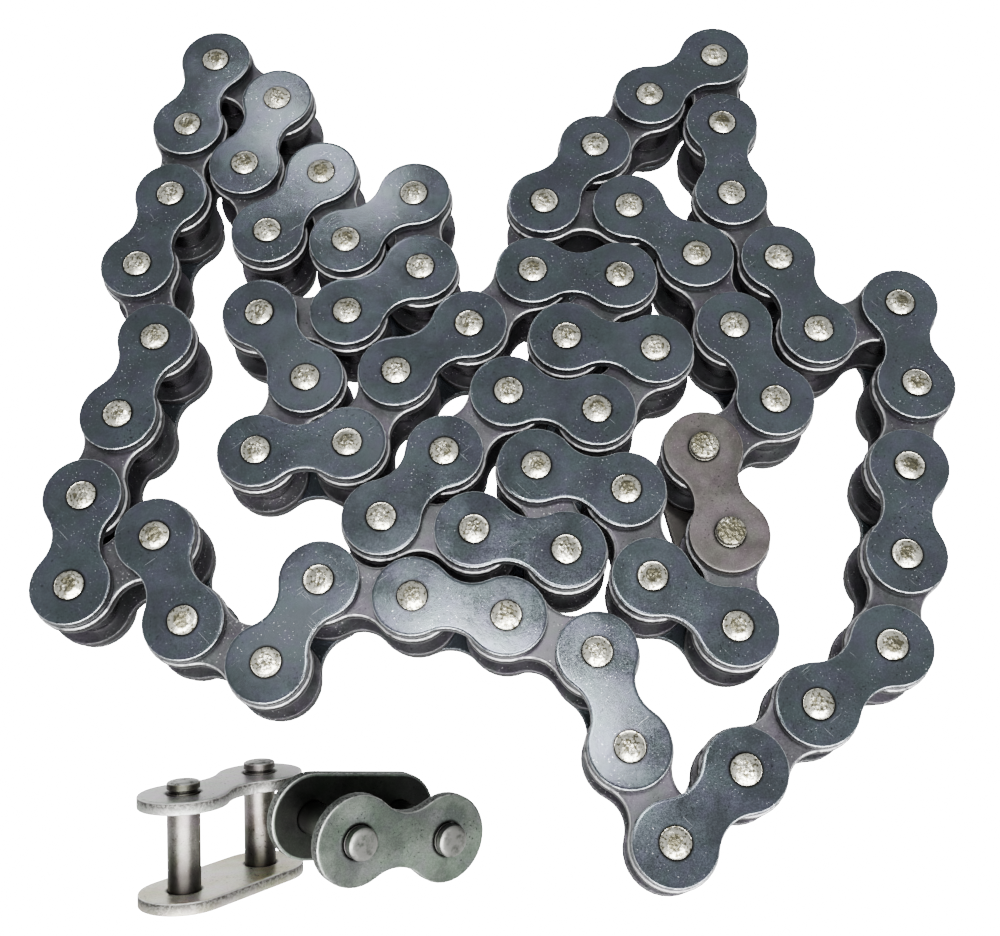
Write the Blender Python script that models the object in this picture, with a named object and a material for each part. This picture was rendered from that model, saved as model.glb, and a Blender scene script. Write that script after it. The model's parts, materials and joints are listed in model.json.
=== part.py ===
"""A roller chain of 66 links for a light motorcycle, closed by a connecting link and laid on its side, with
two spare connecting links beside it. Metres, +Z up, the pins upright and their lower ends at Z 0."""

import math

import bmesh
import bpy
from mathutils import Euler, Vector

MM = 0.001

# The chain, from its pitch
PITCH = 12.7 * MM
PIN_RADIUS = 1.98 * MM
INNER_WIDTH = 6.35 * MM
ROLLER_RADIUS = 3.885 * MM
PLATE_THICKNESS = 1.5 * MM
OUTER_PLATE_RADIUS = 5.45 * MM
OUTER_PLATE_WAIST = 3.3 * MM
INNER_PLATE_RADIUS = 5.75 * MM
INNER_PLATE_WAIST = 3.5 * MM
SIDE_PLAY = 0.35 * MM
PIN_STAND_OUT = 0.7 * MM
RUNNING_GAP = 0.25 * MM

# The connecting link's pins are longer than the riveted ones, to take its loose cover plate
CONNECTING_PIN_LENGTH = 15.0 * MM
CONNECTING_PIN_BASE = 0.2 * MM

# Heights of each layer's underside
LOWER_OUTER = PIN_STAND_OUT
LOWER_INNER = LOWER_OUTER + PLATE_THICKNESS + SIDE_PLAY
ROLLER_BOTTOM = LOWER_INNER + PLATE_THICKNESS
UPPER_INNER = ROLLER_BOTTOM + INNER_WIDTH
UPPER_OUTER = UPPER_INNER + PLATE_THICKNESS + SIDE_PLAY
PIN_LENGTH = UPPER_OUTER + PLATE_THICKNESS + PIN_STAND_OUT

# Round parts of the link that is made in separate pieces
BUSH_WALL = 0.5 * MM
BUSH_BORE = PIN_RADIUS + RUNNING_GAP
BUSH_RADIUS = BUSH_BORE + BUSH_WALL
ROLLER_BORE = BUSH_RADIUS + RUNNING_GAP
PLATE_SKIN = 0.5 * PLATE_THICKNESS  # how far a post runs into a plate that it is one body with

ARC_STEPS = 6
PIN_SIDES = 8
BORE_SIDES = 6
ROLLER_SIDES = 8
FINE_SIDES = 16
WELD_DISTANCE = 0.001 * MM
SHARP_ANGLE = math.radians(50)

# The lay: which way each link points from its first pin to its second, in degrees from +X. The odd links are
# outer links, and the last two of the 66 are where they have to be for the chain to close.
LEFT_LEG = (165, 167, -122, 151, 110, -150, 87, 71, 69, 105, 70, 81, 72)
TOP_LEFT_FOLDS = (-39, -112, -73, 51, -73, 36, -87, -148, 178, -58, -122)
CENTRE_FOLDS = (2, 57, 33, 41, -7, -131, -12, -135, 164, -137, -134)
LOWER_FOLDS = (-11, -16, 105, -19, -79, -35, 88)
CONNECTING_LINK = (100,)
RISE_TO_TOP_RIGHT = (32, 110, 109, 136, 173, 49, 44, 32)
FALL_TO_RIGHT = (-91, -90, -64, -71)
RIGHT_LEG = (16, -89, -104, -101, -108, -146, -143, -139, 111)
LEFT_HALF = LEFT_LEG + TOP_LEFT_FOLDS + CENTRE_FOLDS + LOWER_FOLDS
HEADINGS = LEFT_HALF + CONNECTING_LINK + RISE_TO_TOP_RIGHT + FALL_TO_RIGHT + RIGHT_LEG
FIRST_PIN = Vector((-0.6, -31.4, 0.0)) * MM
LINK_COUNT = 66
FIRST_FIXED = 14
CONNECTING = 43
LAST_FIXED = 55
OUTER_IN_PIECES = 61
INNER_IN_PIECES = 62

# The spares: how each is turned, in degrees about X, Y and Z, and where the middle of its pin plate's end is
SPARE_LEFT_TURN = (-56, 52, 26)
SPARE_LEFT_PLACE = Vector((-37.3, -63.9, 9.9)) * MM
SPARE_RIGHT_TURN = (22, 38, 3)
SPARE_RIGHT_PLACE = Vector((-22.3, -54.6, 7.15)) * MM

# Colour, metallic and roughness
DARK_STEEL = ((0.035, 0.045, 0.06), 0.9, 0.35)
BROWN_STEEL = ((0.07, 0.06, 0.055), 0.85, 0.45)
PIN_STEEL = ((0.62, 0.58, 0.47), 1.0, 0.3)
ROLLER_STEEL = ((0.04, 0.04, 0.045), 0.95, 0.25)
BRIGHT_STEEL = ((0.6, 0.59, 0.58), 1.0, 0.3)
GREY_STEEL = ((0.3, 0.33, 0.31), 1.0, 0.35)


def clear_scene():
    for obj in list(bpy.data.objects):
        bpy.data.objects.remove(obj, do_unlink=True)


def new_collection(name):
    collection = bpy.data.collections.new(name)
    bpy.context.scene.collection.children.link(collection)
    return collection


def finish(obj, steel):
    colour, metallic, roughness = steel
    material = bpy.data.materials.new(obj.name)
    material.use_nodes = True
    shader = material.node_tree.nodes["Principled BSDF"]
    shader.inputs["Base Color"].default_value = (*colour, 1.0)
    shader.inputs["Metallic"].default_value = metallic
    shader.inputs["Roughness"].default_value = roughness
    material.diffuse_color = (*colour, 1.0)
    # Copies share a mesh, so each object carries its own material
    if not obj.data.materials:
        obj.data.materials.append(material)
    obj.material_slots[0].link = "OBJECT"
    obj.material_slots[0].material = material


def arc(centre, radius, start, end, steps):
    angles = [start + (end - start) * step / steps for step in range(steps + 1)]
    return [(centre + radius * math.cos(angle), radius * math.sin(angle)) for angle in angles]


def waisted_outline(radius, waist):
    """A figure of eight: a round end about each of two pins, and a hollow arc between them on both sides."""
    half = PITCH / 2
    hollow = (half**2 + waist**2 - radius**2) / (2 * (radius - waist))
    meeting = math.atan2(waist + hollow, half)
    left = arc(0, radius, meeting, 2 * math.pi - meeting, ARC_STEPS)
    right = arc(PITCH, radius, meeting - math.pi, math.pi - meeting, ARC_STEPS)
    return left + [(half, -waist)] + right + [(half, waist)]


def oval_outline(radius):
    left = arc(0, radius, math.pi / 2, 1.5 * math.pi, ARC_STEPS)
    right = arc(PITCH, radius, -math.pi / 2, math.pi / 2, ARC_STEPS)
    return left + right


def bore_outline(centre, radius, sides):
    """A polygon that a circle of this radius fits inside."""
    corner = radius / math.cos(math.pi / sides)
    return arc(centre, corner, 0, 2 * math.pi * (sides - 1) / sides, sides - 1)


def flat_mesh(name, outlines, bottom, thickness):
    """A flat piece from closed outlines, the first its edge and the rest its holes, as a mesh."""
    curve = bpy.data.curves.new(name, "CURVE")
    curve.dimensions = "2D"
    curve.fill_mode = "BOTH"
    curve.extrude = thickness / 2
    for outline in outlines:
        spline = curve.splines.new("POLY")
        spline.points.add(len(outline) - 1)
        spline.use_cyclic_u = True
        for point, (x, y) in zip(spline.points, outline):
            point.co = (x, y, 0, 1)
    drawn = bpy.data.objects.new(name, curve)
    bpy.context.scene.collection.objects.link(drawn)
    graph = bpy.context.evaluated_depsgraph_get()
    mesh = bpy.data.meshes.new_from_object(drawn.evaluated_get(graph))
    bpy.data.objects.remove(drawn)
    shape = bmesh.new()
    shape.from_mesh(mesh)
    bmesh.ops.remove_doubles(shape, verts=shape.verts, dist=WELD_DISTANCE)
    bmesh.ops.translate(shape, verts=shape.verts, vec=(0, 0, bottom + thickness / 2))
    bmesh.ops.recalc_face_normals(shape, faces=shape.faces)
    shape.to_mesh(mesh)
    shape.free()
    return mesh


def post_mesh(name, centre, radius, bottom, top, sides):
    """An upright cylinder at this distance along the link."""
    shape = bmesh.new()
    bmesh.ops.create_cone(
        shape, cap_ends=True, segments=sides, radius1=radius, radius2=radius, depth=top - bottom
    )
    bmesh.ops.translate(shape, verts=shape.verts, vec=(centre, 0, (bottom + top) / 2))
    mesh = bpy.data.meshes.new(name)
    shape.to_mesh(mesh)
    shape.free()
    return mesh


def tube_mesh(name, centre, bore, radius, bottom, top):
    flat = radius * math.cos(math.pi / FINE_SIDES)
    outlines = [bore_outline(centre, edge, FINE_SIDES) for edge in (flat, bore)]
    return flat_mesh(name, outlines, bottom, top - bottom)


def joined_mesh(name, parts, cutters=(), solver="EXACT"):
    """One closed body from overlapping meshes, less the cutters."""
    helpers = new_collection("cutters")
    meshes = (*parts, *cutters)
    objects = [bpy.data.objects.new(f"{name}_{index}", mesh) for index, mesh in enumerate(meshes)]
    for obj in objects:
        helpers.objects.link(obj)
        obj.display_type = "WIRE"
        obj.hide_render = True
    base = objects[0]
    for index, obj in enumerate(objects[1:], start=1):
        modifier = base.modifiers.new("join" if index < len(parts) else "cut", "BOOLEAN")
        modifier.operation = "UNION" if index < len(parts) else "DIFFERENCE"
        modifier.object = obj
        modifier.solver = solver
    graph = bpy.context.evaluated_depsgraph_get()
    mesh = bpy.data.meshes.new_from_object(base.evaluated_get(graph))
    mesh.name = name
    for obj in objects:
        bpy.data.objects.remove(obj)
    bpy.data.collections.remove(helpers)
    return mesh


def outer_plate(name, bottom, holes=()):
    outline = waisted_outline(OUTER_PLATE_RADIUS, OUTER_PLATE_WAIST)
    bores = [bore_outline(centre, BUSH_BORE, PIN_SIDES) for centre in holes]
    return flat_mesh(name, [outline, *bores], bottom, PLATE_THICKNESS)


def inner_plate(name, bottom, holes=()):
    outline = waisted_outline(INNER_PLATE_RADIUS, INNER_PLATE_WAIST)
    bores = [bore_outline(centre, ROLLER_BORE, FINE_SIDES) for centre in holes]
    return flat_mesh(name, [outline, *bores], bottom, PLATE_THICKNESS)


def pin_mesh(name, centre):
    return post_mesh(name, centre, PIN_RADIUS, 0, PIN_LENGTH, PIN_SIDES)


def head_meshes(centre):
    """The two ends of a pin without the length between the outer plates."""
    lower = post_mesh("lower_head", centre, PIN_RADIUS, 0, LOWER_OUTER + PLATE_SKIN, PIN_SIDES)
    upper = post_mesh("upper_head", centre, PIN_RADIUS, UPPER_OUTER + PLATE_SKIN, PIN_LENGTH, PIN_SIDES)
    return [lower, upper]


def roller_post(centre):
    bottom = ROLLER_BOTTOM - PLATE_SKIN
    top = UPPER_INNER + PLATE_SKIN
    return post_mesh("roller_post", centre, ROLLER_RADIUS, bottom, top, ROLLER_SIDES)


def bore_cutter(centre):
    corner = BUSH_BORE / math.cos(math.pi / BORE_SIDES)
    return post_mesh("bore", centre, corner, LOWER_OUTER, PIN_LENGTH, BORE_SIDES)


def outer_link_parts():
    plates = [outer_plate("plate", LOWER_OUTER), outer_plate("plate", UPPER_OUTER)]
    return plates + [pin_mesh("pin", 0), pin_mesh("pin", PITCH)]


def outer_link_mesh():
    return joined_mesh("outer_link", outer_link_parts())


def opened_outer_link_mesh():
    """The outer link whose second pin is only heads, because the chain's tree of joints is opened there."""
    plates = [outer_plate("plate", LOWER_OUTER), outer_plate("plate", UPPER_OUTER)]
    return joined_mesh("opened_outer_link", plates + [pin_mesh("pin", 0)] + head_meshes(PITCH))


def inner_link_parts():
    plates = [inner_plate("plate", LOWER_INNER), inner_plate("plate", UPPER_INNER)]
    return plates + [roller_post(0), roller_post(PITCH)]


def inner_link_mesh():
    return joined_mesh("inner_link", inner_link_parts(), [bore_cutter(0), bore_cutter(PITCH)])


def turned(mesh, angle):
    """The mesh turned about the upright axis through its origin."""
    mesh.transform(Euler((0, 0, angle)).to_matrix().to_4x4())
    return mesh


def link_pair_mesh(outer_heading, inner_heading):
    """An outer link and the inner link after it as one body, with the pin that they share at the origin. That
    pin has no bore in the inner link, and the inner link's far bore is open."""
    outer = [turned(part, math.radians(outer_heading + 180)) for part in outer_link_parts()]
    inner = [turned(part, math.radians(inner_heading)) for part in inner_link_parts()]
    bore = turned(bore_cutter(PITCH), math.radians(inner_heading))
    # The exact solver leaves open edges where the edges of a pair's plates cross at some of the angles
    return joined_mesh("link_pair", outer + inner, [bore], solver="MANIFOLD")


def pin_plate_mesh():
    """The connecting link's oval plate with its two pins."""
    plate = flat_mesh("oval", [oval_outline(OUTER_PLATE_RADIUS)], LOWER_OUTER, PLATE_THICKNESS)
    top = CONNECTING_PIN_BASE + CONNECTING_PIN_LENGTH
    ends = (0, PITCH)
    pins = [post_mesh("pin", centre, PIN_RADIUS, CONNECTING_PIN_BASE, top, PIN_SIDES) for centre in ends]
    return joined_mesh("pin_plate", [plate, *pins])


def direction(heading):
    return Vector((math.cos(math.radians(heading)), math.sin(math.radians(heading)), 0))


def meeting_point(start, end):
    """Where two links of one pitch meet between these pins, on the right of the way from start to end."""
    span = end - start
    rise = math.sqrt(PITCH**2 - span.length_squared / 4)
    side = Vector((span.y, -span.x, 0)).normalized()
    return (start + end) / 2 + rise * side


def pin_centres():
    """The pins in order. Link 1 runs from the first to the second, and link 66 comes back to the first."""
    pins = [FIRST_PIN.copy()]
    for heading in HEADINGS:
        pins.append(pins[-1] + PITCH * direction(heading))
    pins.append(meeting_point(pins[-1], pins[0]))
    return pins


def heading_between(start, end):
    return math.degrees(math.atan2(end.y - start.y, end.x - start.x))


def place(name, mesh, steel, parts, where, heading, parent):
    obj = bpy.data.objects.new(name, mesh)
    parts.objects.link(obj)
    obj.parent = parent
    obj.location = where
    obj.rotation_euler = (0, 0, math.radians(heading))
    finish(obj, steel)
    return obj


def is_outer(number):
    return number % 2 == 1


def single_link(number, meshes, pins, headings, parts, root):
    """A link with its origin on the pin that it swings about: on the left leg its second, else its first."""
    kind = "outer" if is_outer(number) else "inner"
    if number < FIRST_FIXED:
        where, heading = pins[number], headings[number - 1] + 180
    else:
        where, heading = pins[number - 1], headings[number - 1]
    mesh = meshes["opened"] if number == 1 else meshes[kind]
    return place(f"link_{number:02}_{kind}", mesh, DARK_STEEL, parts, where, heading, root)


def outer_link_in_pieces(where, heading, parts, root):
    name = f"link_{OUTER_IN_PIECES}"
    for level, bottom in (("lower", LOWER_OUTER), ("upper", UPPER_OUTER)):
        mesh = outer_plate("pierced_plate", bottom, holes=(0, PITCH))
        place(f"{name}_{level}_outer_plate", mesh, DARK_STEEL, parts, where, heading, root)
    for letter, centre in (("a", 0), ("b", PITCH)):
        mesh = pin_mesh("pin", centre)
        place(f"{name}_pin_{letter}", mesh, PIN_STEEL, parts, where, heading, root)


def inner_link_in_pieces(where, heading, parts, root):
    name = f"link_{INNER_IN_PIECES}"
    for level, bottom in (("lower", LOWER_INNER), ("upper", UPPER_INNER)):
        mesh = inner_plate("pierced_plate", bottom, holes=(0, PITCH))
        place(f"{name}_{level}_inner_plate", mesh, BROWN_STEEL, parts, where, heading, root)
    bush = tube_mesh("bush", 0, BUSH_BORE, BUSH_RADIUS, LOWER_INNER, UPPER_INNER + PLATE_THICKNESS)
    roller = tube_mesh(
        "roller", 0, ROLLER_BORE, ROLLER_RADIUS, ROLLER_BOTTOM + RUNNING_GAP, UPPER_INNER - RUNNING_GAP
    )
    for letter, centre in (("a", 0), ("b", PITCH)):
        axis = where + centre * direction(heading)
        place(f"{name}_bush_{letter}", bush, BROWN_STEEL, parts, axis, heading, root)
        place(f"{name}_roller_{letter}", roller, ROLLER_STEEL, parts, axis, heading, root)


def connecting_link(where, heading, parts, root):
    cover = outer_plate("cover_plate", UPPER_OUTER, holes=(0, PITCH))
    place("connecting_link_pin_plate", pin_plate_mesh(), BROWN_STEEL, parts, where, heading, root)
    place("connecting_link_cover_plate", cover, BROWN_STEEL, parts, where, heading, root)


def spare_link(name, place_of_middle, turn, steel, parts, root):
    """A spare connecting link. Its origin is the middle of its pin plate, and its cover rides on it."""
    plate = pin_plate_mesh()
    cover = outer_plate("cover_plate", UPPER_OUTER, holes=(0, PITCH))
    for mesh in (plate, cover):
        for vertex in mesh.vertices:
            vertex.co.x -= PITCH / 2
    base = place(f"{name}_pin_plate", plate, steel, parts, place_of_middle, 0, root)
    base.rotation_euler = [math.radians(angle) for angle in turn]
    place(f"{name}_cover_plate", cover, steel, parts, (0, 0, 0), 0, base)


def smooth(parts):
    """Round faces shaded smooth, with every edge of a plate kept sharp."""
    for mesh in {obj.data for obj in parts.objects if obj.type == "MESH"}:
        mesh.shade_smooth()
        mesh.set_sharp_from_angle(angle=SHARP_ANGLE)


def main():
    clear_scene()
    parts = new_collection("drive_chain")
    root = bpy.data.objects.new("drive_chain_frame", None)
    parts.objects.link(root)
    pins = pin_centres()
    ends = pins[1:] + pins[:1]
    headings = [heading_between(start, end) for start, end in zip(pins, ends)]
    meshes = {"outer": outer_link_mesh(), "opened": opened_outer_link_mesh(), "inner": inner_link_mesh()}
    number = 1
    while number <= LINK_COUNT:
        where, heading = pins[number - 1], headings[number - 1]
        if number == OUTER_IN_PIECES:
            outer_link_in_pieces(where, heading, parts, root)
        elif number == INNER_IN_PIECES:
            inner_link_in_pieces(where, heading, parts, root)
        elif number == CONNECTING:
            connecting_link(where, heading, parts, root)
        elif FIRST_FIXED < number < LAST_FIXED and is_outer(number):
            pair = link_pair_mesh(heading, headings[number])
            place(f"links_{number}_{number + 1}", pair, DARK_STEEL, parts, pins[number], 0, root)
            number += 1
        else:
            single_link(number, meshes, pins, headings, parts, root)
        number += 1
    spare_link("spare_left", SPARE_LEFT_PLACE, SPARE_LEFT_TURN, BRIGHT_STEEL, parts, root)
    spare_link("spare_right", SPARE_RIGHT_PLACE, SPARE_RIGHT_TURN, GREY_STEEL, parts, root)
    smooth(parts)


main()
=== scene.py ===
"""The looks of a 66-link drive chain with two spare connecting links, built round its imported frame. Each
link gets its real pieces: plates, riveted pins, bushes and rollers. Metres, +Z up, in the frame that the CAD
and the physics use."""

import json
import math

import bmesh
import bpy
from mathutils import Euler, Matrix, Vector, noise

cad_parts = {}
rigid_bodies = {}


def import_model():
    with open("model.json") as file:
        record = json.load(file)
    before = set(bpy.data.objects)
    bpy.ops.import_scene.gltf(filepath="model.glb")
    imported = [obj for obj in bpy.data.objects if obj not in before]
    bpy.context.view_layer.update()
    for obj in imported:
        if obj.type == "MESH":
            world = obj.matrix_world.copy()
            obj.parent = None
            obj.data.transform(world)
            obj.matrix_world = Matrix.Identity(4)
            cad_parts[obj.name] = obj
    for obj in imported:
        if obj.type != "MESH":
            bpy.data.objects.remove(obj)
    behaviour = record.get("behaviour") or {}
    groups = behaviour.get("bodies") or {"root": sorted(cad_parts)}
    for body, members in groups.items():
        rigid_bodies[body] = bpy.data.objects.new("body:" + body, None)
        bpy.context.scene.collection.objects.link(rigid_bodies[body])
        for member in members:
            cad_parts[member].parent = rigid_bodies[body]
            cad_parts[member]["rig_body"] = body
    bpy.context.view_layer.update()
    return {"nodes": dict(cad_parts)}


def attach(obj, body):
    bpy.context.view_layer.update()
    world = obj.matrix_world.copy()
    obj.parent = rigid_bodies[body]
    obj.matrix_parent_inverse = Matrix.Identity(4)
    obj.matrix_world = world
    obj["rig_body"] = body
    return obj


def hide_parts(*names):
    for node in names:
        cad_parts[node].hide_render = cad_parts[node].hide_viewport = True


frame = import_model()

MM = 0.001

# The chain's sizes, the same as the frame's
PITCH = 12.7 * MM
PIN_RADIUS = 1.98 * MM
INNER_WIDTH = 6.35 * MM
ROLLER_RADIUS = 3.885 * MM
PLATE_THICKNESS = 1.5 * MM
OUTER_PLATE_RADIUS = 5.45 * MM
OUTER_PLATE_WAIST = 3.3 * MM
INNER_PLATE_RADIUS = 5.75 * MM
INNER_PLATE_WAIST = 3.5 * MM
SIDE_PLAY = 0.35 * MM
PIN_STAND_OUT = 0.7 * MM
RUNNING_GAP = 0.25 * MM
CONNECTING_PIN_LENGTH = 15.0 * MM
CONNECTING_PIN_BASE = 0.2 * MM
GROOVE_RISE = 0.15 * MM  # from the cover plate's face to the groove for a spring clip
GROOVE_WIDTH = 0.4 * MM
GROOVE_DEPTH = 0.25 * MM
GROOVE_CORNER = 0.08 * MM

# Heights of each layer's underside
LOWER_OUTER = PIN_STAND_OUT
LOWER_INNER = LOWER_OUTER + PLATE_THICKNESS + SIDE_PLAY
ROLLER_BOTTOM = LOWER_INNER + PLATE_THICKNESS
UPPER_INNER = ROLLER_BOTTOM + INNER_WIDTH
UPPER_OUTER = UPPER_INNER + PLATE_THICKNESS + SIDE_PLAY
PIN_LENGTH = UPPER_OUTER + PLATE_THICKNESS + PIN_STAND_OUT
BUSH_BORE = PIN_RADIUS + RUNNING_GAP
BUSH_RADIUS = BUSH_BORE + 0.5 * MM
ROLLER_BORE = BUSH_RADIUS + RUNNING_GAP
FIT_GAP = 0.02 * MM  # between a pressed pin or bush and its hole, so that the meshes stay apart
COVER_GAP = 0.06 * MM  # round a connecting link's pin in its loose cover plate

# The lay, the same as the frame's: which way each link points from its first pin to its second, in degrees
# from +X
LEFT_LEG = (165, 167, -122, 151, 110, -150, 87, 71, 69, 105, 70, 81, 72)
TOP_LEFT_FOLDS = (-39, -112, -73, 51, -73, 36, -87, -148, 178, -58, -122)
CENTRE_FOLDS = (2, 57, 33, 41, -7, -131, -12, -135, 164, -137, -134)
LOWER_FOLDS = (-11, -16, 105, -19, -79, -35, 88)
CONNECTING_LINK = (100,)
RISE_TO_TOP_RIGHT = (32, 110, 109, 136, 173, 49, 44, 32)
FALL_TO_RIGHT = (-91, -90, -64, -71)
RIGHT_LEG = (16, -89, -104, -101, -108, -146, -143, -139, 111)
LEFT_HALF = LEFT_LEG + TOP_LEFT_FOLDS + CENTRE_FOLDS + LOWER_FOLDS
HEADINGS = LEFT_HALF + CONNECTING_LINK + RISE_TO_TOP_RIGHT + FALL_TO_RIGHT + RIGHT_LEG
FIRST_PIN = Vector((-0.6, -31.4, 0.0)) * MM
LINK_COUNT = 66
CONNECTING = 43
SPARE_LEFT_TURN = (-56, 52, 26)
SPARE_LEFT_PLACE = Vector((-37.3, -63.9, 9.9)) * MM
SPARE_RIGHT_TURN = (22, 38, 3)
SPARE_RIGHT_PLACE = Vector((-22.3, -54.6, 7.15)) * MM

CAMERA_PLACE = Vector((-0.464, -72.783, 171.14)) * MM
CAMERA_LENS = 44.507  # mm, on a sensor 36 mm wide
CAMERA_DIP = 68.475  # degrees below level
CAMERA_ROLL = -2.898
LIT_HEIGHT = 14.5 * MM  # the height that the lights over the chain are aimed at, about the tops of the pins
FLOOR_REACH = 3.0

# How finely round shapes are drawn
END_ARC_STEPS = 24
HOLLOW_STEPS = 6  # along half of one hollow side
MIDDLE_STEPS = 6  # across the waist, where the faces round the two holes meet
ROUND_SIDES = 40

# The rounded edge that a press leaves on a plate's outer face, the broken edge underneath, and the hole's
TOP_ROLL = 0.22 * MM
INNER_ROLL = 0.36 * MM  # an inner plate's
OVAL_ROLL = 0.2 * MM  # a connecting link's pin plate's
UNDER_BEVEL = 0.14 * MM
ROLL_STEPS = 4
HOLE_BEVEL = 0.1 * MM

# Rings in a plate's flat faces
EDGE_BORDER = 0.25 * MM
HOLE_BORDER = 0.4 * MM
FACE_RINGS = (0.55, 0.25)  # shares of the way from a hole out to the edge

# How riveting leaves a pin's ends: lean of the face, depth of the dents, and how far apart each changes
STRUCK_FROM = 0.55  # the rim mark above which the end is struck
HEAD_LEAN = 0.22
LEAN_SIZE = 4 * MM
HEAD_DENT = 0.12 * MM
DENT_SIZE = 1.3 * MM
NOISE_SEED = 1  # without a seed, noise_vector differs from run to run


class Surface:
    """The points and faces of one piece while it is made. rim is 1 where an edge is worn bright, and on a
    flat pin end, whose bright top is partly a painted highlight. A dark mark is 1 in holes, bores and
    grooves and on a pin's side where it meets a plate: oily dirt and painted contact shade. wall is 1 on a
    plate's sheared side."""

    def __init__(self):
        self.points = []
        self.faces = []
        self.marks = {"rim": [], "shade_and_oil": [], "wall": []}

    def ring(self, outline, height, rim=0.0, shade_and_oil=0.0, wall=0.0):
        first = len(self.points)
        self.points.extend((x, y, height) for x, y in outline)
        for attribute, value in (("rim", rim), ("shade_and_oil", shade_and_oil), ("wall", wall)):
            self.marks[attribute].extend([value] * len(outline))
        return list(range(first, len(self.points)))

    def band(self, lower, upper):
        """Quads between two closed rings of as many points."""
        for index, corner in enumerate(lower):
            after = (index + 1) % len(lower)
            self.faces.append((corner, lower[after], upper[after], upper[index]))

    def cap(self, ring, centre, height, rim):
        """A fan of triangles that closes a ring."""
        middle = self.ring([centre], height, rim)[0]
        for index, corner in enumerate(ring):
            self.faces.append((corner, ring[(index + 1) % len(ring)], middle))

    def mesh(self, name):
        mesh = bpy.data.meshes.new(name)
        mesh.from_pydata(self.points, [], self.faces)
        for attribute, values in self.marks.items():
            mesh.attributes.new(attribute, "FLOAT", "POINT").data.foreach_set("value", values)
        shape = bmesh.new()
        shape.from_mesh(mesh)
        bmesh.ops.recalc_face_normals(shape, faces=shape.faces)
        shape.to_mesh(mesh)
        shape.free()
        mesh.shade_smooth()
        mesh.set_sharp_from_angle(angle=math.radians(40))
        return mesh


def arc(centre, radius, start, end, steps):
    cx, cy = centre
    angles = [start + (end - start) * step / steps for step in range(steps + 1)]
    return [(cx + radius * math.cos(angle), cy + radius * math.sin(angle)) for angle in angles]


def half_outline(radius, waist):
    """Half of a plate's edge, round the first pin, from the middle of one side to that of the other."""
    half = PITCH / 2
    if math.isclose(radius, waist):
        side = [(half * (1 - step / HOLLOW_STEPS), radius) for step in range(HOLLOW_STEPS)]
        meeting = math.pi / 2
    else:
        hollow = (half**2 + waist**2 - radius**2) / (2 * (radius - waist))
        meeting = math.atan2(waist + hollow, half)
        side = arc((half, waist + hollow), hollow, -math.pi / 2, meeting - math.pi, HOLLOW_STEPS)[:-1]
    end = arc((0, 0), radius, meeting, 2 * math.pi - meeting, END_ARC_STEPS)
    return side + end + [(x, -y) for x, y in reversed(side)]


def outline(radius, waist):
    half = half_outline(radius, waist)[:-1]
    return half + [(PITCH - x, -y) for x, y in half]


def edge_profile(roll):
    """Inset and height of each ring up a plate's edge, and its rim and wall marks."""
    angles = [step * math.pi / 2 / ROLL_STEPS for step in range(ROLL_STEPS + 1)]
    rings = []
    for turn in angles:
        rings.append((UNDER_BEVEL * (1 - math.sin(turn)), UNDER_BEVEL * (1 - math.cos(turn)), 0.3, 0.6))
    for turn in angles:
        height = PLATE_THICKNESS - roll * (1 - math.sin(turn))
        rings.append((roll * (1 - math.cos(turn)), height, math.sin(2 * turn) ** 2, math.cos(turn) ** 2))
    return rings


def plate_mesh(name, radius, waist, hole, bottom, face_up=True, roll=TOP_ROLL, oil=0.0):
    """A plate with a hole at each end. Its rounded edge is on top, or underneath if it doesn't face up. The
    last argument is how much painted shade darkens its upper face."""
    surface = Surface()
    profile = edge_profile(roll)
    if not face_up:
        profile = [(inset, PLATE_THICKNESS - height, *marks) for inset, height, *marks in reversed(profile)]
    edges = []
    for inset, height, rim, wall in profile:
        ring = outline(radius - inset, waist - inset)
        edges.append(surface.ring(ring, bottom + height, rim=rim, wall=wall))
    for lower, upper in zip(edges, edges[1:]):
        surface.band(lower, upper)
    walls = []
    for height, edge, inset, drop, face_shade in (
        (bottom, edges[0], profile[0][0], HOLE_BEVEL, 0.0),
        (bottom + PLATE_THICKNESS, edges[-1], profile[-1][0], -HOLE_BEVEL, oil),
    ):
        walls.append(plate_face(surface, edge, radius, waist, inset, hole, height, drop, face_shade))
    for lower, upper in zip(*walls):
        surface.band(lower, upper)
    return surface.mesh(name)


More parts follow.
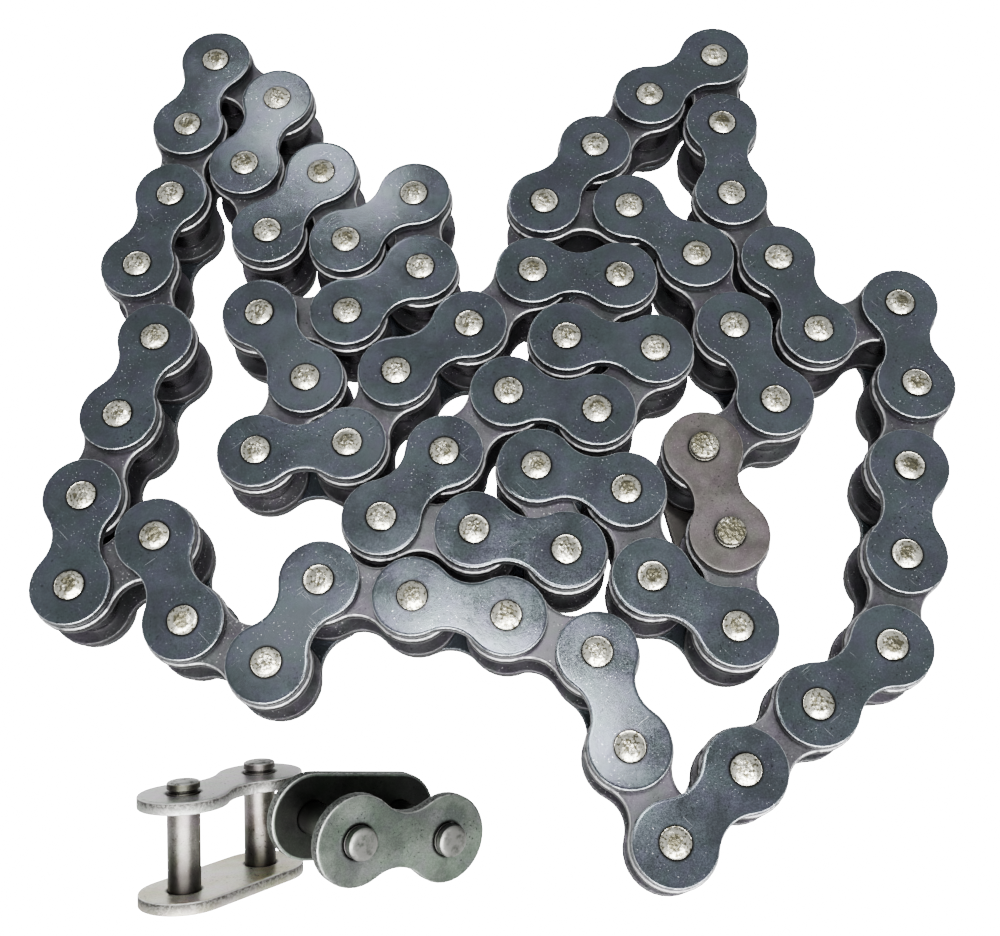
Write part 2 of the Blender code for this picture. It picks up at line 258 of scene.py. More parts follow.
def plate_face(surface, edge, radius, waist, inset, hole, height, drop, face_shade):
    """One flat face, from its edge ring in to the two holes. Returns the ring where each hole's wall starts.
    The last argument is how much painted shade darkens the face."""
    support = inset + EDGE_BORDER
    inner_edge = surface.ring(outline(radius - support, waist - support), height, rim=0.12, shade_and_oil=face_shade)
    surface.band(edge, inner_edge)
    mid = waist - support
    steps = [(PITCH / 2, mid * (2 * step / MIDDLE_STEPS - 1)) for step in range(1, MIDDLE_STEPS)]
    middle = surface.ring(steps, height, shade_and_oil=face_shade)
    half = len(inner_edge) // 2
    loops = (
        (0.0, inner_edge[: half + 1] + middle),
        (PITCH, inner_edge[half:] + inner_edge[:1] + middle[::-1]),
    )
    walls = []
    for centre, loop in loops:
        bearings = [math.atan2(surface.points[i][1], surface.points[i][0] - centre) for i in loop]
        outer = loop
        for share in FACE_RINGS:
            ring = []
            for corner, bearing in zip(loop, bearings):
                x, y, _ = surface.points[corner]
                hx, hy = centre + hole * math.cos(bearing), hole * math.sin(bearing)
                ring.append((hx + share * (x - hx), hy + share * (y - hy)))
            inner = surface.ring(ring, height, shade_and_oil=face_shade)
            surface.band(outer, inner)
            outer = inner
        # Rings round the hole, darkened towards it: painted contact shade where the pin or bush meets the
        # plate, with oily dirt
        for reach, level, shade_and_oil in (
            (HOLE_BORDER, height, 0.2),
            (HOLE_BEVEL, height, 1.0),
            (0, height + drop, 1.0),
        ):
            size = hole + reach
            hole_ring = [(centre + size * math.cos(b), size * math.sin(b)) for b in bearings]
            inner = surface.ring(hole_ring, level, shade_and_oil=max(shade_and_oil, face_shade))
            surface.band(outer, inner)
            outer = inner
        walls.append(outer)
    return walls


def circle(radius, centre):
    return arc((centre, 0), radius, 0, 2 * math.pi * (ROUND_SIDES - 1) / ROUND_SIDES, ROUND_SIDES - 1)


def turned_mesh(name, profile, centre, closed=False):
    """A turned piece from its profile of radius, height, the rim mark and the dark mark of oily dirt and
    painted shade. A closed profile makes a tube.
    """
    surface = Surface()
    rings = [surface.ring(circle(radius, centre), height, *marks) for radius, height, *marks in profile]
    for lower, upper in zip(rings, rings[1:]):
        surface.band(lower, upper)
    if closed:
        surface.band(rings[-1], rings[0])
    else:
        for ring, (_, height, rim, _) in ((rings[0], profile[0]), (rings[-1], profile[-1])):
            surface.cap(ring, (centre, 0), height, rim)
    return surface.mesh(name)


# The end of a pin from its middle to its side: share of the radius, drop in mm, and the rim mark and the
# dark mark, which makes the side darker where the pin stands out of the plate: painted shade with oily dirt
DOMED_END = (
    (0.14, 0.0, 1.0, 0.0),
    (0.34, 0.005, 1.0, 0.0),
    (0.47, 0.03, 0.9, 0.0),
    (0.57, 0.09, 0.76, 0.0),
    (0.67, 0.17, 0.7, 0.0),
    (0.77, 0.265, 0.66, 0.0),
    (0.87, 0.375, 0.64, 0.0),
    (0.95, 0.48, 0.62, 0.0),
    (0.99, 0.55, 0.6, 0.1),
    (1.0, 0.61, 0.0, 0.9),
)
# A flat end's top carries a high rim mark: a worn face, and partly a painted highlight on the top, beside a
# dark side
FLAT_END = (
    (0.2, 0.0, 0.9, 0.0),
    (0.6, 0.01, 0.9, 0.0),
    (0.78, 0.03, 0.9, 0.0),
    (0.88, 0.08, 0.9, 0.0),
    (0.96, 0.16, 0.8, 0.0),
    (1.0, 0.27, 0.2, 0.3),
    (1.0, 0.36, 0.0, 0.75),
)


def end_profile(shape, radius, face, inward):
    """A pin's end from the middle of its face to its side. inward is +1 at the lower end, else -1."""
    return [(radius * out, face + inward * drop * MM, rim, shade_and_oil) for out, drop, rim, shade_and_oil in shape]


def riveted_pin_mesh(centre):
    lower = end_profile(DOMED_END, PIN_RADIUS, 0, 1)
    upper = end_profile(DOMED_END, PIN_RADIUS, PIN_LENGTH, -1)[::-1]
    # The side is darkest where it meets the plates: painted shade with oily dirt
    side = [
        (PIN_RADIUS, LOWER_OUTER, 0.0, 1.0),
        (PIN_RADIUS, LOWER_INNER, 0.0, 0.6),
        (PIN_RADIUS, UPPER_OUTER, 0.0, 0.6),
        (PIN_RADIUS, UPPER_OUTER + PLATE_THICKNESS, 0.0, 1.0),
    ]
    return turned_mesh("riveted_pin", lower + side + upper, centre)


def grooved_pin_mesh(centre):
    """A connecting link's pin, with the groove for a spring clip just above the cover plate."""
    bottom, top = CONNECTING_PIN_BASE, CONNECTING_PIN_BASE + CONNECTING_PIN_LENGTH
    plate_top = LOWER_OUTER + PLATE_THICKNESS
    groove = UPPER_OUTER + PLATE_THICKNESS + GROOVE_RISE
    neck = PIN_RADIUS - GROOVE_DEPTH
    side = [
        # Darkest at the cover plate and fading up the pin, and dark in the groove: painted shade at the
        # pin's foot and in the groove, with oily dirt
        (PIN_RADIUS, LOWER_OUTER, 0.0, 1.0),
        (PIN_RADIUS, plate_top, 0.0, 1.0),
        (PIN_RADIUS, plate_top + 2 * MM, 0.0, 0.9),
        (PIN_RADIUS, plate_top + 4 * MM, 0.0, 0.55),
        (PIN_RADIUS, plate_top + 7 * MM, 0.0, 0.1),
        (PIN_RADIUS, groove - 1.2 * MM, 0.0, 0.0),
        (PIN_RADIUS, groove, 0.3, 0.6),
        (neck, groove + GROOVE_CORNER, 0.0, 1.0),
        (neck, groove + GROOVE_WIDTH - GROOVE_CORNER, 0.0, 1.0),
        (PIN_RADIUS, groove + GROOVE_WIDTH, 0.3, 0.6),
    ]
    lower = end_profile(DOMED_END, PIN_RADIUS, bottom, 1)
    upper = end_profile(FLAT_END, PIN_RADIUS, top, -1)[::-1]
    return turned_mesh("grooved_pin", lower + side + upper, centre)


def tube_profile(bore, radius, bottom, top, bevel):
    """A bush's or roller's section, once round from the bottom of its bore."""
    return (
        (bore, bottom + bevel, 1.0, 0.8),
        (bore + bevel, bottom, 0.0, 0.5),
        (radius - bevel, bottom, 0.0, 0.3),
        (radius - 0.3 * bevel, bottom + 0.3 * bevel, 1.0, 0.0),
        (radius, bottom + bevel, 0.6, 0.0),
        (radius, bottom + 2.4 * bevel, 0.0, 0.0),
        (radius, top - 2.4 * bevel, 0.0, 0.0),
        (radius, top - bevel, 0.6, 0.0),
        (radius - 0.3 * bevel, top - 0.3 * bevel, 1.0, 0.0),
        (radius - bevel, top, 0.0, 0.3),
        (bore + bevel, top, 0.0, 0.5),
        (bore, top - bevel, 1.0, 0.8),
    )


def roller_mesh(centre):
    bottom, top = ROLLER_BOTTOM + RUNNING_GAP, UPPER_INNER - RUNNING_GAP
    section = tube_profile(ROLLER_BORE, ROLLER_RADIUS, bottom, top, bevel=0.3 * MM)
    return turned_mesh("roller", section, centre, closed=True)


def bush_mesh(centre):
    top = UPPER_INNER + PLATE_THICKNESS
    section = tube_profile(BUSH_BORE, BUSH_RADIUS, LOWER_INNER, top, bevel=0.1 * MM)
    return turned_mesh("bush", section, centre, closed=True)


# Materials

# Dark colours of oily dirt and painted contact shade, for holes, bores, grooves and pins' sides
SHADE_AND_OIL_DARK = (0.012, 0.011, 0.01)
PIN_SHADE_AND_OIL_DARK = (0.02, 0.018, 0.015)


class Nodes:
    """A material's node tree, with short ways to add the nodes that these finishes share."""

    def __init__(self, material):
        material.use_nodes = True
        self.tree = material.node_tree
        self.shader = self.tree.nodes["Principled BSDF"]
        self.place = self.tree.nodes.new("ShaderNodeTexCoord").outputs["Object"]

    def link(self, source, target):
        self.tree.links.new(source, target)

    def set(self, node, values):
        for key, value in values.items():
            if isinstance(value, bpy.types.NodeSocket):
                self.link(value, node.inputs[key])
            else:
                node.inputs[key].default_value = value
        return node

    def noise(self, size, detail, roughness=0.6, place=None):
        node = self.tree.nodes.new("ShaderNodeTexNoise")
        values = {"Vector": place or self.place, "Scale": 1 / size, "Detail": detail, "Roughness": roughness}
        return self.set(node, values).outputs["Fac"]

    def cells(self, size):
        node = self.tree.nodes.new("ShaderNodeTexVoronoi")
        return self.set(node, {"Vector": self.place, "Scale": 1 / size})

    def stretched(self, turn, along, across):
        """Coordinates drawn out along a turned X axis."""
        node = self.tree.nodes.new("ShaderNodeMapping")
        node.vector_type = "TEXTURE"
        values = {"Vector": self.place, "Rotation": turn, "Scale": (along, across, across)}
        return self.set(node, values).outputs["Vector"]

    def mark(self, name):
        """One of a Surface's marks."""
        node = self.tree.nodes.new("ShaderNodeAttribute")
        node.attribute_name = name
        return node.outputs["Fac"]

    def between(self, source, low, high, to_low=0.0, to_high=1.0):
        """source from low to high, clamped, as to_low to to_high."""
        node = self.tree.nodes.new("ShaderNodeMapRange")
        node.interpolation_type = "SMOOTHSTEP"
        values = {"Value": source, "From Min": low, "From Max": high, "To Min": to_low, "To Max": to_high}
        return self.set(node, values).outputs["Result"]

    def math(self, operation, first, second):
        node = self.tree.nodes.new("ShaderNodeMath")
        node.operation = operation
        node.use_clamp = True
        return self.set(node, {0: first, 1: second}).outputs["Value"]

    def mix(self, factor, first, second, blend="MIX"):
        node = self.tree.nodes.new("ShaderNodeMix")
        node.data_type = "RGBA"
        node.blend_type = blend
        self.set(node, {"Factor": factor})
        for key, value in ((6, first), (7, second)):
            if isinstance(value, bpy.types.NodeSocket):
                self.link(value, node.inputs[key])
            else:
                node.inputs[key].default_value = (*value, 1.0)
        return node.outputs[2]

    def bump(self, height, distance, strength, normal=None):
        node = self.tree.nodes.new("ShaderNodeBump")
        values = {"Height": height, "Distance": distance, "Strength": strength}
        if normal is not None:
            values["Normal"] = normal
        return self.set(node, values).outputs["Normal"]


def plate_steel(name, dull, pale, worn, metallic, rough, speck, scratch, cut_and_shaded_wall):
    """Pressed plate: an even finish with a faint play of tints, fine grain, specks, pits, scratches, edges
    worn bright, and a dark torn wall where the press sheared it, darker still as painted shade on the
    upright side."""
    material = bpy.data.materials.new(name)
    nodes = Nodes(material)
    patches = nodes.noise(6 * MM, detail=4)
    fine = nodes.noise(0.2 * MM, detail=3, roughness=0.7)
    colour = nodes.mix(nodes.between(patches, 0.35, 0.65), dull, pale)
    for size, tint in ((3.6 * MM, (1.06, 0.96, 1.1)), (4.3 * MM, (0.94, 1.03, 0.96))):
        share = nodes.between(nodes.noise(size, detail=2), 0.45, 0.62)
        colour = nodes.mix(share, colour, tint, "MULTIPLY")
    colour = nodes.mix(nodes.between(fine, 0.35, 0.7), colour, (1.45, 1.45, 1.45), "MULTIPLY")
    pits = nodes.between(nodes.noise(0.36 * MM, detail=2), 0.61, 0.68)
    pits = nodes.math("MULTIPLY", pits, nodes.between(nodes.noise(4 * MM, detail=2), 0.42, 0.62, 0.0, 0.9))
    colour = nodes.mix(pits, colour, tuple(0.3 * part for part in dull))
    specks = nodes.between(nodes.noise(0.26 * MM, detail=1), 0.7, 0.75, 0.0, speck)
    specks = nodes.math("MULTIPLY", specks, nodes.between(nodes.noise(7 * MM, detail=2), 0.42, 0.6))
    colour = nodes.mix(specks, colour, worn)
    lines = None
    for turn in (0.6, 2.3):
        streaks = nodes.noise(1.0, detail=1, place=nodes.stretched((0, 0, turn), 5 * MM, 0.08 * MM))
        streaks = nodes.between(streaks, 0.74, 0.78)
        lines = streaks if lines is None else nodes.math("MAXIMUM", lines, streaks)
    shown = nodes.between(nodes.noise(8 * MM, detail=1), 0.5, 0.62, 0.0, scratch)
    colour = nodes.mix(nodes.math("MULTIPLY", lines, shown), colour, worn)
    # The upright wall: the sheared edge's dark torn look, made darker still as painted shade
    wall = nodes.mark("wall")
    torn = nodes.between(nodes.noise(0.32 * MM, detail=3), 0.42, 0.6)
    torn_and_shaded_wall = nodes.mix(torn, tuple(0.3 * part for part in cut_and_shaded_wall), cut_and_shaded_wall)
    colour = nodes.mix(nodes.between(wall, 0.3, 1.0), colour, torn_and_shaded_wall)
    # Edges worn bright; on a spare's flat pin end the rim mark covers the whole top, so this paints the top
    # bright: a painted highlight
    broken = nodes.between(nodes.noise(1.1 * MM, detail=4), 0.32, 0.54, 0.15, 1.0)
    rim_wear_and_highlight = nodes.math("MULTIPLY", nodes.between(nodes.mark("rim"), 0.2, 0.95), broken)
    colour = nodes.mix(rim_wear_and_highlight, colour, worn)
    # The dark mark: oily dirt and painted contact shade round holes and in bores, and painted shade over a
    # plate's upper face where it is given
    colour = nodes.mix(nodes.between(nodes.mark("shade_and_oil"), 0.1, 1.0, 0.0, 0.9), colour, SHADE_AND_OIL_DARK)
    nodes.link(colour, nodes.shader.inputs["Base Color"])
    nodes.shader.inputs["Metallic"].default_value = metallic
    roughness = nodes.between(patches, 0.3, 0.7, rough - 0.03, rough + 0.04)
    roughness = nodes.math("ADD", roughness, nodes.between(fine, 0.3, 0.7, -0.02, 0.05))
    roughness = nodes.math("ADD", roughness, nodes.between(wall, 0.3, 1.0, 0.0, 0.25))
    nodes.link(roughness, nodes.shader.inputs["Roughness"])
    ripple = nodes.bump(nodes.noise(2.2 * MM, detail=2), 0.02 * MM, 0.35)
    grain = nodes.bump(fine, 0.002 * MM, 0.8, ripple)
    tears = nodes.math("MULTIPLY", torn, wall)
    nodes.link(nodes.bump(tears, 0.04 * MM, 0.8, grain), nodes.shader.inputs["Normal"])
    return material


def pin_steel(name, bright, dull, rough):
    """A pin: its struck ends broken into bright and brown facets, no two heads alike, and its side plain."""
    material = bpy.data.materials.new(name)
    nodes = Nodes(material)
    head = nodes.mark("rim")
    struck = nodes.between(head, 0.6, 0.9)
    cells = nodes.cells(0.5 * MM)
    flakes = nodes.noise(0.38 * MM, detail=5, roughness=0.62)
    colour = nodes.mix(nodes.between(flakes, 0.44, 0.55), dull, bright)
    facet = nodes.between(cells.outputs["Color"], 0.25, 0.85, 0.0, 0.5)
    colour = nodes.mix(facet, colour, dull)
    whole = nodes.between(nodes.noise(5 * MM, detail=1), 0.42, 0.62, 0.0, 0.95)
    colour = nodes.mix(whole, colour, dull)
    rubbed = nodes.mix(nodes.between(flakes, 0.4, 0.5), colour, bright)
    colour = nodes.mix(struck, rubbed, colour)
    colour = nodes.mix(nodes.between(head, 0.0, 0.3), tuple(0.35 * part for part in bright), colour)
    # The dark mark: the pin's side where it stands out of the plate, painted shade with oily dirt
    colour = nodes.mix(nodes.between(nodes.mark("shade_and_oil"), 0.1, 1.0, 0.0, 0.95), colour, PIN_SHADE_AND_OIL_DARK)
    nodes.link(colour, nodes.shader.inputs["Base Color"])
    nodes.shader.inputs["Metallic"].default_value = 1.0
    nodes.link(nodes.between(flakes, 0.3, 0.7, rough + 0.1, rough - 0.08), nodes.shader.inputs["Roughness"])
    uneven = nodes.between(head, 0.66, 0.9, 0.12, 0.9)
    facets = nodes.bump(cells.outputs["Distance"], 0.13 * MM, uneven)
    nodes.link(nodes.bump(flakes, 0.055 * MM, uneven, facets), nodes.shader.inputs["Normal"])
    return material


# Each finish: dull and pale colour and worn edge, then metallic, roughness, pale specks, scratches, and the
# colour of its sheared wall, which is also painted shade on the upright side
FINISHES = {
    "dark_steel": (
        (0.038, 0.044, 0.05), (0.049, 0.058, 0.068), (0.5, 0.53, 0.56),
        0.8, 0.125, 1.0, 0.85, (0.014, 0.014, 0.015),
    ),
    "inner_steel": (
        (0.04, 0.039, 0.043), (0.067, 0.066, 0.072), (0.64, 0.64, 0.65),
        0.85, 0.32, 1.0, 0.3, (0.022, 0.019, 0.02),
    ),
    "brown_steel": (
        (0.037, 0.032, 0.03), (0.07, 0.062, 0.059), (0.24, 0.22, 0.21),
        0.7, 0.42, 0.6, 0.2, (0.025, 0.022, 0.02),
    ),
    # Rollers: dark steel, made darker still as painted shade between the plates
    "roller_steel": (
        (0.016, 0.015, 0.016), (0.042, 0.038, 0.04), (0.3, 0.28, 0.28),
        0.95, 0.26, 0.3, 0.2, (0.02, 0.02, 0.02),
    ),
    "bright_steel": (
        (0.68, 0.68, 0.64), (0.8, 0.8, 0.76), (0.95, 0.94, 0.9),
        1.0, 0.34, 0.2, 0.2, (0.24, 0.235, 0.22),
    ),
    "grey_steel": (
        (0.11, 0.13, 0.11), (0.18, 0.205, 0.175), (0.5, 0.52, 0.48),
        1.0, 0.34, 0.3, 0.2, (0.2, 0.21, 0.2),
    ),
    "yellowed_steel": (
        (0.6, 0.57, 0.38), (0.8, 0.79, 0.69), (0.95, 0.94, 0.9),
        1.0, 0.34, 0.3, 0.2, (0.2, 0.195, 0.18),
    ),
    "stained_pin": (
        (0.085, 0.08, 0.055), (0.2, 0.19, 0.17), (0.9, 0.9, 0.86),
        1.0, 0.36, 0.2, 0.2, (0.2, 0.19, 0.16),
    ),
    "dull_pin": (
        (0.07, 0.075, 0.065), (0.13, 0.135, 0.12), (0.26, 0.26, 0.24),
        1.0, 0.36, 0.2, 0.2, (0.1, 0.1, 0.09),
    ),
}


def make_materials():
    materials = {slot: plate_steel(slot, *finish) for slot, finish in FINISHES.items()}
    materials["pin_ends"] = pin_steel("pin_ends", (1.0, 0.97, 0.82), (0.13, 0.12, 0.075), 0.28)
    return materials


# Assembly


def direction(heading):
    return Vector((math.cos(math.radians(heading)), math.sin(math.radians(heading)), 0))


def pin_centres():
    """The pins in order. Link 1 runs from the first pin to the second, and the last link back to the first.
    The last pin is placed where two pitches close the loop."""
    pins = [FIRST_PIN.copy()]
    for heading in HEADINGS:
        pins.append(pins[-1] + PITCH * direction(heading))
    span = pins[0] - pins[-1]
    rise = math.sqrt(PITCH**2 - span.length_squared / 4)
    pins.append((pins[-1] + pins[0]) / 2 + rise * Vector((span.y, -span.x, 0)).normalized())
    return pins


def nodes_of_link(number, word):
    """The frame's nodes that a piece of this link stands for: those made for it, or else all of the link."""
    names = []
    for name in frame["nodes"]:
        kind, *labels = name.split("_")
        if number == CONNECTING:
            mine = kind == "connecting"
        else:
            mine = kind in ("link", "links") and f"{number:02}" in labels
        if mine:
            names.append(name)
    own = [name for name in names if word in name]
    return sorted(own or names)


def add_piece(name, mesh, matrix, material, nodes):
    piece = bpy.data.objects.new(name, mesh.copy())
    piece.data.transform(matrix)
    piece.data.materials.append(material)
    bpy.context.scene.collection.objects.link(piece)
    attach(piece, frame["nodes"][nodes[0]]["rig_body"])
    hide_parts(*nodes)
    return piece


def build_outer_link(number, matrix, meshes, materials):
    for level in ("lower", "upper"):
        nodes = nodes_of_link(number, f"{level}_outer")
        mesh = meshes[f"{level}_outer"]
        name = f"link_{number:02}_outer_plate_{level}"
        add_piece(name, mesh, matrix, materials["dark_steel"], nodes)
    for letter, which in (("a", "first"), ("b", "second")):
        nodes = nodes_of_link(number, f"pin_{letter}")
        mesh = meshes[f"{which}_pin"]
        name = f"link_{number:02}_{which}_pin"
        pin = add_piece(name, mesh, matrix, materials["pin_ends"], nodes)
        strike(pin.data)


def build_inner_link(number, matrix, meshes, materials):
    for level in ("lower", "upper"):
        nodes = nodes_of_link(number, f"{level}_inner")
        mesh = meshes[f"{level}_inner"]
        name = f"link_{number:02}_inner_plate_{level}"
        add_piece(name, mesh, matrix, materials["inner_steel"], nodes)
    for letter, which in (("a", "first"), ("b", "second")):
        for kind, slot in (("bush", "inner_steel"), ("roller", "roller_steel")):
            nodes = nodes_of_link(number, f"{kind}_{letter}")
            mesh = meshes[f"{which}_{kind}"]
            add_piece(f"link_{number:02}_{which}_{kind}", mesh, matrix, materials[slot], nodes)


def strike(mesh):
    """Dents and tilts each riveted pin's ends a little, no two alike, as riveting does."""
    middle = sum((vertex.co for vertex in mesh.vertices), Vector()) / len(mesh.vertices)
    for vertex, rim in zip(mesh.vertices, mesh.attributes["rim"].data):
        if rim.value > STRUCK_FROM:
            end = 0.0 if vertex.co.z < PIN_LENGTH / 2 else PIN_LENGTH
            lean = HEAD_LEAN * noise.noise_vector(Vector((middle.x, middle.y, end)) / LEAN_SIZE)
            tilt = (vertex.co - middle).xy.dot(lean.xy) + 0.6 * PIN_RADIUS * lean.xy.length
            dent = HEAD_DENT * max(0.0, noise.noise(vertex.co / DENT_SIZE) + 0.3) * rim.value
            depth = min(abs(vertex.co.z - end) + tilt + dent, PIN_STAND_OUT - 0.05 * MM)
            vertex.co.z = abs(end - depth)


def build_connecting_link(matrix, meshes, materials):
    plate_nodes = nodes_of_link(CONNECTING, "pin_plate")
    cover_nodes = nodes_of_link(CONNECTING, "cover_plate")
    steel = materials["brown_steel"]
    add_piece(f"link_{CONNECTING}_oval_plate", meshes["oval"], matrix, steel, plate_nodes)
    for which in ("first", "second"):
        pin = meshes[f"{which}_grooved_pin"]
        name = f"link_{CONNECTING}_{which}_pin"
        add_piece(name, pin, matrix, materials["pin_ends"], plate_nodes)
    add_piece(f"link_{CONNECTING}_cover", meshes["cover"], matrix, steel, cover_nodes)


def build_spare(name, where, turn, slot, oval, finishes, meshes, materials):
    """One spare connecting link. finishes are those of its oval plate and its pins."""
    turned = Euler([math.radians(angle) for angle in turn]).to_matrix().to_4x4()
    matrix = Matrix.Translation(where) @ turned @ Matrix.Translation((-PITCH / 2, 0, 0))
    plate_material, pin_material = (materials[finish] for finish in finishes)
    plate_nodes = [f"{name}_pin_plate"]
    add_piece(f"{name}_oval_plate", meshes[oval], matrix, plate_material, plate_nodes)
    for which in ("first", "second"):
        pin = meshes[f"{which}_grooved_pin"]
        add_piece(f"{name}_{which}_pin", pin, matrix, pin_material, plate_nodes)
    add_piece(f"{name}_cover", meshes["cover"], matrix, materials[slot], [f"{name}_cover_plate"])


def make_meshes():
    pin_hole = PIN_RADIUS + FIT_GAP
    outer = (OUTER_PLATE_RADIUS, OUTER_PLATE_WAIST, pin_hole)
    inner = (INNER_PLATE_RADIUS, INNER_PLATE_WAIST, BUSH_RADIUS + FIT_GAP)
    oval = (OUTER_PLATE_RADIUS, OUTER_PLATE_RADIUS, pin_hole)
    cover = (OUTER_PLATE_RADIUS, OUTER_PLATE_WAIST, PIN_RADIUS + COVER_GAP)
    meshes = {
        "lower_outer": plate_mesh("lower_outer", *outer, LOWER_OUTER, face_up=False),
        "upper_outer": plate_mesh("upper_outer", *outer, UPPER_OUTER),
        "lower_inner": plate_mesh("lower_inner", *inner, LOWER_INNER, face_up=False, roll=INNER_ROLL),
        "upper_inner": plate_mesh("upper_inner", *inner, UPPER_INNER, roll=INNER_ROLL),
        "oval": plate_mesh("oval", *oval, LOWER_OUTER, roll=OVAL_ROLL),
        # The right spare's plate, its upper face, which lies under the cover, darkened as painted shade
        "oiled_oval": plate_mesh("oiled_oval", *oval, LOWER_OUTER, roll=OVAL_ROLL, oil=0.97),
        "cover": plate_mesh("cover", *cover, UPPER_OUTER),
    }
    for which, centre in (("first", 0.0), ("second", PITCH)):
        meshes[f"{which}_pin"] = riveted_pin_mesh(centre)
        meshes[f"{which}_bush"] = bush_mesh(centre)
        meshes[f"{which}_roller"] = roller_mesh(centre)
        meshes[f"{which}_grooved_pin"] = grooved_pin_mesh(centre)
    return meshes


def build_chain(meshes, materials):
    pins = pin_centres()
    for number in range(1, LINK_COUNT + 1):
        start, end = pins[number - 1], pins[number % LINK_COUNT]
        heading = math.atan2(end.y - start.y, end.x - start.x)
        matrix = Matrix.Translation(start) @ Matrix.Rotation(heading, 4, "Z")
        if number == CONNECTING:
            build_connecting_link(matrix, meshes, materials)
        elif number % 2:
            build_outer_link(number, matrix, meshes, materials)
        else:
            build_inner_link(number, matrix, meshes, materials)


# Stage


def build_floor(name, level, grey, glow):
    mesh = bpy.data.meshes.new(name)
    corners = [(x * FLOOR_REACH, y * FLOOR_REACH, level) for x, y in ((-1, -1), (1, -1), (1, 1), (-1, 1))]
    mesh.from_pydata(corners, [], [(0, 1, 2, 3)])
    material = bpy.data.materials.new(name)
    material.use_nodes = True
    shader = material.node_tree.nodes["Principled BSDF"]
    shader.inputs["Base Color"].default_value = (grey, grey, grey, 1)
    shader.inputs["Roughness"].default_value = 0.9
    shader.inputs["Emission Color"].default_value = (1, 1, 1, 1)
    shader.inputs["Emission Strength"].default_value = glow
    mesh.materials.append(material)
    floor = bpy.data.objects.new(name, mesh)
    bpy.context.scene.collection.objects.link(floor)
    return floor


def build_stage():
    """A white floor for the camera, and just under it a plain pale one that the steel reflects."""
    floor = build_floor("floor", -0.02 * MM, grey=0.9, glow=25.0)
    floor.visible_diffuse = False
    floor.visible_glossy = False
    bounce = build_floor("bounce_floor", -0.06 * MM, grey=0.8, glow=0.5)
    bounce.visible_camera = False
    bounce.visible_shadow = False


def add_area_light(name, target, towards, along, distance, size, power):
    """A soft light, this far from the target and facing it, with its first side along a direction."""
    lamp = bpy.data.lights.new(name, "AREA")
    lamp.shape = "RECTANGLE"
    lamp.size, lamp.size_y = size
    lamp.energy = power
    light = bpy.data.objects.new(name, lamp)
    back = Vector(towards).normalized()
    side = Vector(along)
    side = (side - side.dot(back) * back).normalized()
    turn = Matrix((side, back.cross(side), back)).transposed().to_4x4()
    light.matrix_world = Matrix.Translation(Vector(target) + distance * back) @ turn
    bpy.context.scene.collection.objects.link(light)


def build_sky():
    """A pale sky that darkens towards the horizon, so that upright faces are darker than flat ones."""
    world = bpy.data.worlds.new("studio")
    world.use_nodes = True
    tree = world.node_tree
    background = tree.nodes["Background"]
    background.inputs["Color"].default_value = (0.95, 0.98, 1.0, 1)
    place = tree.nodes.new("ShaderNodeTexCoord")
    parts = tree.nodes.new("ShaderNodeSeparateXYZ")
    fade = tree.nodes.new("ShaderNodeMapRange")
    fade.interpolation_type = "SMOOTHSTEP"
    for key, value in (("From Min", 0.0), ("From Max", 0.7), ("To Min", 0.28), ("To Max", 0.69)):
        fade.inputs[key].default_value = value
    tree.links.new(place.outputs["Generated"], parts.inputs["Vector"])
    tree.links.new(parts.outputs["Z"], fade.inputs["Value"])
    tree.links.new(fade.outputs["Result"], background.inputs["Strength"])
    bpy.context.scene.world = world


def glint(target):
    """Towards where a flat plate at the target mirrors the camera."""
    seen = CAMERA_PLACE - Vector(target)
    return (-seen.x, -seen.y, seen.z)


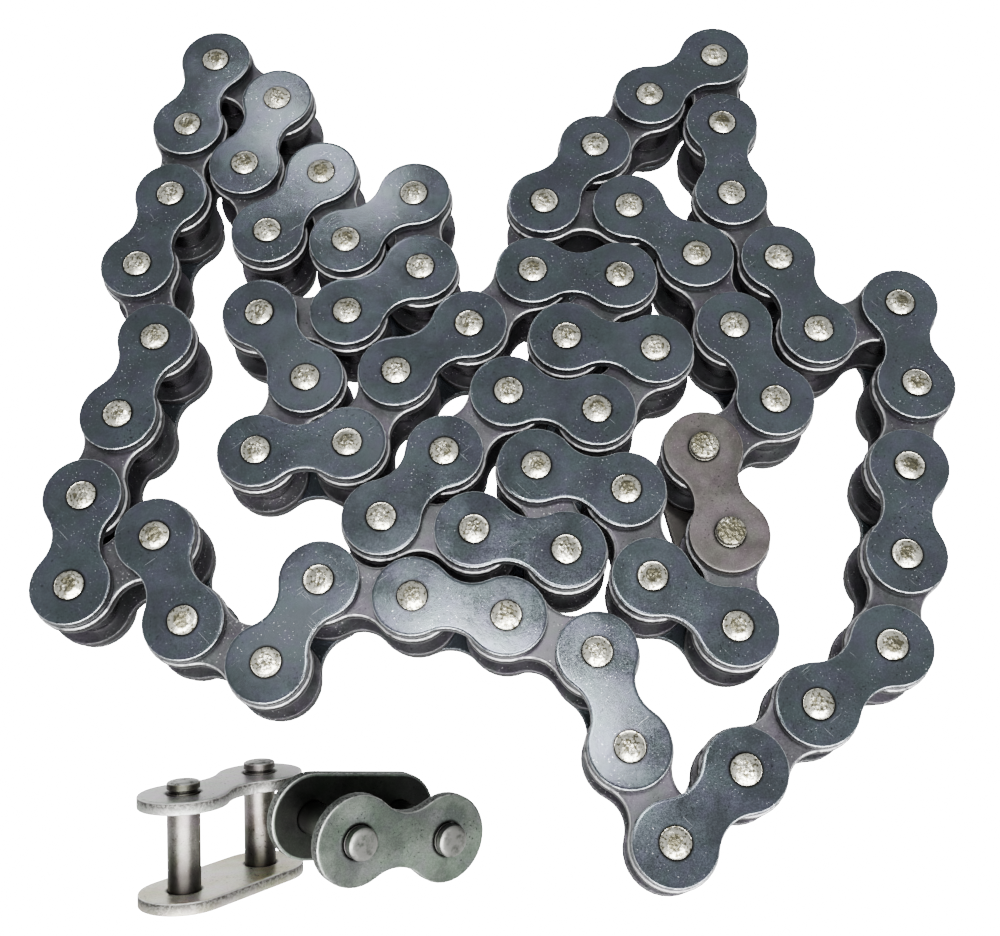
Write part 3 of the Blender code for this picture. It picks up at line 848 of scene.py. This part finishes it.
def light_scene():
    """Soft lights that the plates mirror towards the camera, each over one part of the chain, and a large
    one in front."""
    build_sky()
    for name, (x, y), along, distance, size, power in (
        ("key", (-0.001, -0.042), (0.82, -0.57, 0), 0.6, (0.13, 0.034), 1.25),
        ("back_left", (-0.025, 0.042), (0.77, -0.64, 0), 0.65, (0.11, 0.03), 0.22),
        ("left_glow", (-0.029, -0.031), (1, 0, 0), 0.6, (0.06, 0.06), 0.035),
        ("right_glow", (0.05, 0.0), (1, 0, 0), 0.8, (0.4, 0.5), 0.17),
        ("left_strip", (-0.0215, -0.001), (0.63, -0.77, 0), 0.6, (0.11, 0.03), 0.022),
    ):
        target = (x, y, LIT_HEIGHT)
        add_area_light(name, target, glint(target), along, distance, size, power)
    add_area_light("front", (0, 0, 0), (0.2, -1.0, 1.2), (1, 0, 0), 0.9, (1.0, 0.72), 40.0)


def set_camera():
    """The camera looks down steeply from the front, rolled a little."""
    camera = bpy.data.objects.new("camera", bpy.data.cameras.new("camera"))
    bpy.context.scene.collection.objects.link(camera)
    camera.data.sensor_width = 36.0
    camera.data.lens = CAMERA_LENS
    camera.data.clip_start = 0.01
    dip, roll = math.radians(CAMERA_DIP), math.radians(CAMERA_ROLL)
    right = Vector((1, 0, 0))
    up = Vector((0, math.sin(dip), math.cos(dip)))
    ahead = Vector((0, math.cos(dip), -math.sin(dip)))
    side = math.cos(roll) * right + math.sin(roll) * up
    top = -math.sin(roll) * right + math.cos(roll) * up
    turn = Matrix((side, top, -ahead)).transposed().to_4x4()
    camera.matrix_world = Matrix.Translation(CAMERA_PLACE) @ turn
    bpy.context.scene.camera = camera


def main():
    noise.seed_set(NOISE_SEED)
    meshes = make_meshes()
    materials = make_materials()
    build_chain(meshes, materials)
    left = ("bright_steel", "oval", ("yellowed_steel", "stained_pin"))
    # The right spare's plate has its upper face darkened as painted shade
    right = ("grey_steel", "oiled_oval", ("grey_steel", "dull_pin"))
    for name, place, turn, looks in (
        ("spare_left", SPARE_LEFT_PLACE, SPARE_LEFT_TURN, left),
        ("spare_right", SPARE_RIGHT_PLACE, SPARE_RIGHT_TURN, right),
    ):
        build_spare(name, place, turn, *looks, meshes, materials)
    build_stage()
    light_scene()
    set_camera()


main()
